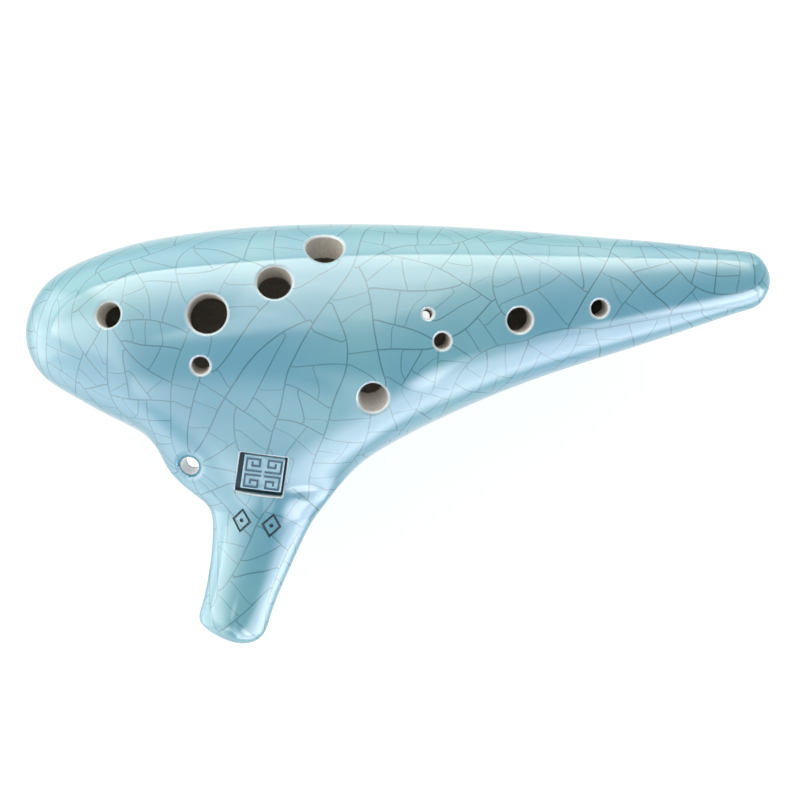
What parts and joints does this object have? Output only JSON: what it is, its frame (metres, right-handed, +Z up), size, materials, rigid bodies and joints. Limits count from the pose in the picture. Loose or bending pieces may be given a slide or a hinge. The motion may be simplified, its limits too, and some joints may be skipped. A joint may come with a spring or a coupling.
{
  "type": "ocarina",
  "caption": "Transverse ceramic ocarina with a tapered body, slanted mouthpiece, lanyard lug and crackle-glazed finger-hole face.",
  "frame": {"origin": "on the table under the middle of the ocarina's outline, with the ocarina lying on the flat of its belly", "axes": "+X runs to the tapered tail, +Y away from the mouthpiece, +Z up out of the finger holes; the parting plane of the two shells is level"},
  "size_m": [0.176, 0.0992, 0.0482],
  "materials": {
    "crackle_glaze": "glossy aqua celadon glaze with fine dark crackle lines",
    "bare_clay": "unglazed matt stoneware",
    "seal_glaze": "satin pale blue glaze with darker relief"
  },
  "bodies": {
    "root": {"upper_shell": "crackle_glaze", "lower_shell": "crackle_glaze", "mouthpiece_roof": "crackle_glaze", "mouthpiece_floor": "crackle_glaze", "voicing_blade": "bare_clay", "lanyard_lug": "crackle_glaze", "seal_tile": "seal_glaze"}
  },
  "joints": []
}
